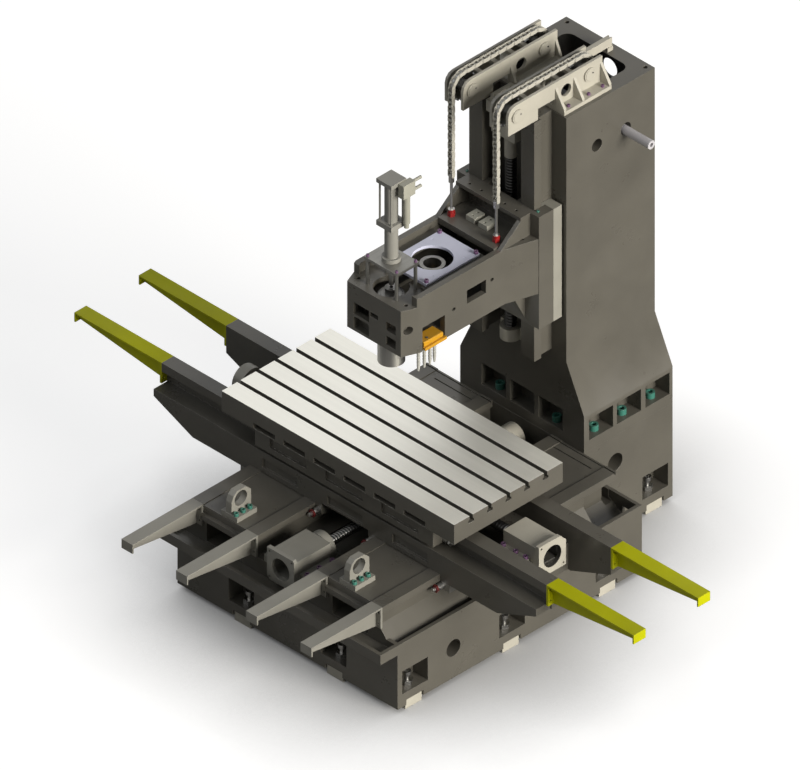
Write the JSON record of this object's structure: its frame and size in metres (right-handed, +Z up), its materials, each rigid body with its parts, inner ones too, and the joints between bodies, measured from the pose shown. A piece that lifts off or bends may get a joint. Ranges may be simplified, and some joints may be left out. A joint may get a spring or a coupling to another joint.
{
  "type": "vertical machining center",
  "caption": "Uncovered vertical machining center: cast base, cross saddle, T-slotted table, column, counterweighted head with belt-driven spindle, guard support arms.",
  "frame": {"origin": "centre of the bounding box at floor level, under the levelling pads", "axes": "+Z up, +X to the right along the table's travel, +Y from the operator's side to the column"},
  "size_m": [3.61, 2.543, 2.5431],
  "materials": {
    "casting": "painted dark charcoal casting, machined faces left as cast iron",
    "cream": "cream painted bracket and pad castings",
    "arm_gray": "warm light gray paint",
    "arm_yellow": "olive yellow paint",
    "steel": "ground steel",
    "table_iron": "ground bright top, dark sides",
    "screw_green": "teal green coated fasteners",
    "screw_purple": "dark purple gray fasteners",
    "red_parts": "red nuts and adjusters",
    "keeper": "ground keeper strips",
    "plate_blue": "pale blue gray plate",
    "belt": "black toothed belt",
    "cylinder_gray": "gray cylinder body",
    "valve": "pale olive valve body",
    "orange": "amber block with gray nozzles",
    "chain": "cream plated leaf and roller chain"
  },
  "bodies": {
    "base": {"base_casting": "casting", "leveling_pads": "cream", "leveling_screws": "steel", "ring_bracket_left": "arm_gray", "ring_bracket_right": "arm_gray", "base_screws": "screw_green", "y_motor_bracket": "arm_gray", "y_rear_bearing": "cream", "y_arm_outer_left": "arm_gray", "y_arm_inner_left": "arm_gray", "y_arm_inner_right": "arm_gray", "y_arm_outer_right": "arm_gray", "column_casting": "casting", "lifting_bar": "steel", "z_motor_bracket": "cream", "z_lower_bearing": "cream", "top_beam": "keeper", "chain_bracket_left": "cream", "chain_bracket_right": "cream", "chain_tops": "chain", "chain_front_strands": "chain", "chain_rear_strands": "chain"},
    "saddle": {"saddle_casting": "casting", "saddle_keepers": "keeper", "gib_adjusters": "red_parts", "y_nut": "steel", "x_motor_bracket": "cream", "x_end_bearing": "cream", "x_drive_screws": "screw_purple", "x_arm_front_left": "arm_yellow", "x_arm_rear_left": "arm_yellow", "x_arm_front_right": "arm_yellow", "x_arm_rear_right": "arm_yellow"},
    "table": {"table_plate": "table_iron", "table_keepers": "keeper", "x_nut": "steel"},
    "head": {"head_casting": "casting", "head_keepers": "arm_gray", "z_nut": "steel", "chain_anchors": "red_parts", "spindle_cartridge": "steel", "motor_plate": "plate_blue", "plate_screws": "screw_purple", "drive_belt": "belt", "cylinder_posts": "keeper", "release_cylinder": "cylinder_gray", "release_valve": "valve", "coolant_block": "orange", "oil_manifolds": "valve"},
    "weight": {"counterweight": "casting"},
    "spindle": {"spindle_shaft": "steel"},
    "motor_hub": {"motor_pulley": "steel"},
    "drawbar_pusher": {"push_rod": "steel"},
    "x_screw": {"x_ballscrew": "steel"},
    "y_screw": {"y_ballscrew": "steel"},
    "z_screw": {"z_ballscrew": "steel"},
    "wheel_front_left": {"sprocket_front_left": "steel"},
    "wheel_front_right": {"sprocket_front_right": "steel"},
    "wheel_rear_left": {"sprocket_rear_left": "steel"},
    "wheel_rear_right": {"sprocket_rear_right": "steel"}
  },
  "joints": [
    {"name": "saddle_slide", "type": "slide", "parent": "base", "child": "saddle", "axis": [0, 1, 0], "range_m": [-0.23, 0.35]},
    {"name": "table_slide", "type": "slide", "parent": "saddle", "child": "table", "axis": [1, 0, 0], "range_m": [-0.6, 0.6]},
    {"name": "head_slide", "type": "slide", "parent": "base", "child": "head", "axis": [0, 0, 1], "range_m": [-0.22, 0.42], "deforming": ["chain_front_strands"]},
    {"name": "weight_slide", "type": "slide", "parent": "base", "child": "weight", "axis": [0, 0, 1], "range_m": [-0.42, 0.22], "deforming": ["chain_rear_strands"]},
    {"name": "spindle_spin", "type": "hinge", "parent": "head", "child": "spindle", "pos_m": [0, -0.1435, 1.4], "axis": [0, 0, 1], "continuous": true},
    {"name": "motor_spin", "type": "hinge", "parent": "head", "child": "motor_hub", "pos_m": [0, 0.1215, 1.66], "axis": [0, 0, 1], "continuous": true},
    {"name": "release_stroke", "type": "slide", "parent": "head", "child": "drawbar_pusher", "axis": [0, 0, -1], "range_m": [0, 0.012]},
    {"name": "x_screw_spin", "type": "hinge", "parent": "saddle", "child": "x_screw", "pos_m": [0, -0.1375, 0.714], "axis": [1, 0, 0], "continuous": true},
    {"name": "y_screw_spin", "type": "hinge", "parent": "base", "child": "y_screw", "pos_m": [0, -0.1135, 0.48], "axis": [0, 1, 0], "continuous": true},
    {"name": "z_screw_spin", "type": "hinge", "parent": "base", "child": "z_screw", "pos_m": [0, 0.6265, 1.5], "axis": [0, 0, 1], "continuous": true},
    {"name": "wheel_front_left_spin", "type": "hinge", "parent": "base", "child": "wheel_front_left", "pos_m": [-0.145, 0.4625, 2.46], "axis": [1, 0, 0], "continuous": true},
    {"name": "wheel_front_right_spin", "type": "hinge", "parent": "base", "child": "wheel_front_right", "pos_m": [0.145, 0.4625, 2.46], "axis": [1, 0, 0], "continuous": true},
    {"name": "wheel_rear_left_spin", "type": "hinge", "parent": "base", "child": "wheel_rear_left", "pos_m": [-0.145, 0.9275, 2.46], "axis": [1, 0, 0], "continuous": true},
    {"name": "wheel_rear_right_spin", "type": "hinge", "parent": "base", "child": "wheel_rear_right", "pos_m": [0.145, 0.9275, 2.46], "axis": [1, 0, 0], "continuous": true}
  ],
  "couplings": [
    {"joint": "weight_slide", "follows": "head_slide", "ratio": -1},
    {"joint": "motor_spin", "follows": "spindle_spin", "ratio": 1},
    {"joint": "x_screw_spin", "follows": "table_slide", "rad_per_m": -392.7},
    {"joint": "y_screw_spin", "follows": "saddle_slide", "rad_per_m": -392.7},
    {"joint": "z_screw_spin", "follows": "head_slide", "rad_per_m": -392.7},
    {"joint": "wheel_front_left_spin", "follows": "head_slide", "rad_per_m": -13.673},
    {"joint": "wheel_front_right_spin", "follows": "head_slide", "rad_per_m": -13.673},
    {"joint": "wheel_rear_left_spin", "follows": "head_slide", "rad_per_m": -13.673},
    {"joint": "wheel_rear_right_spin", "follows": "head_slide", "rad_per_m": -13.673}
  ]
}
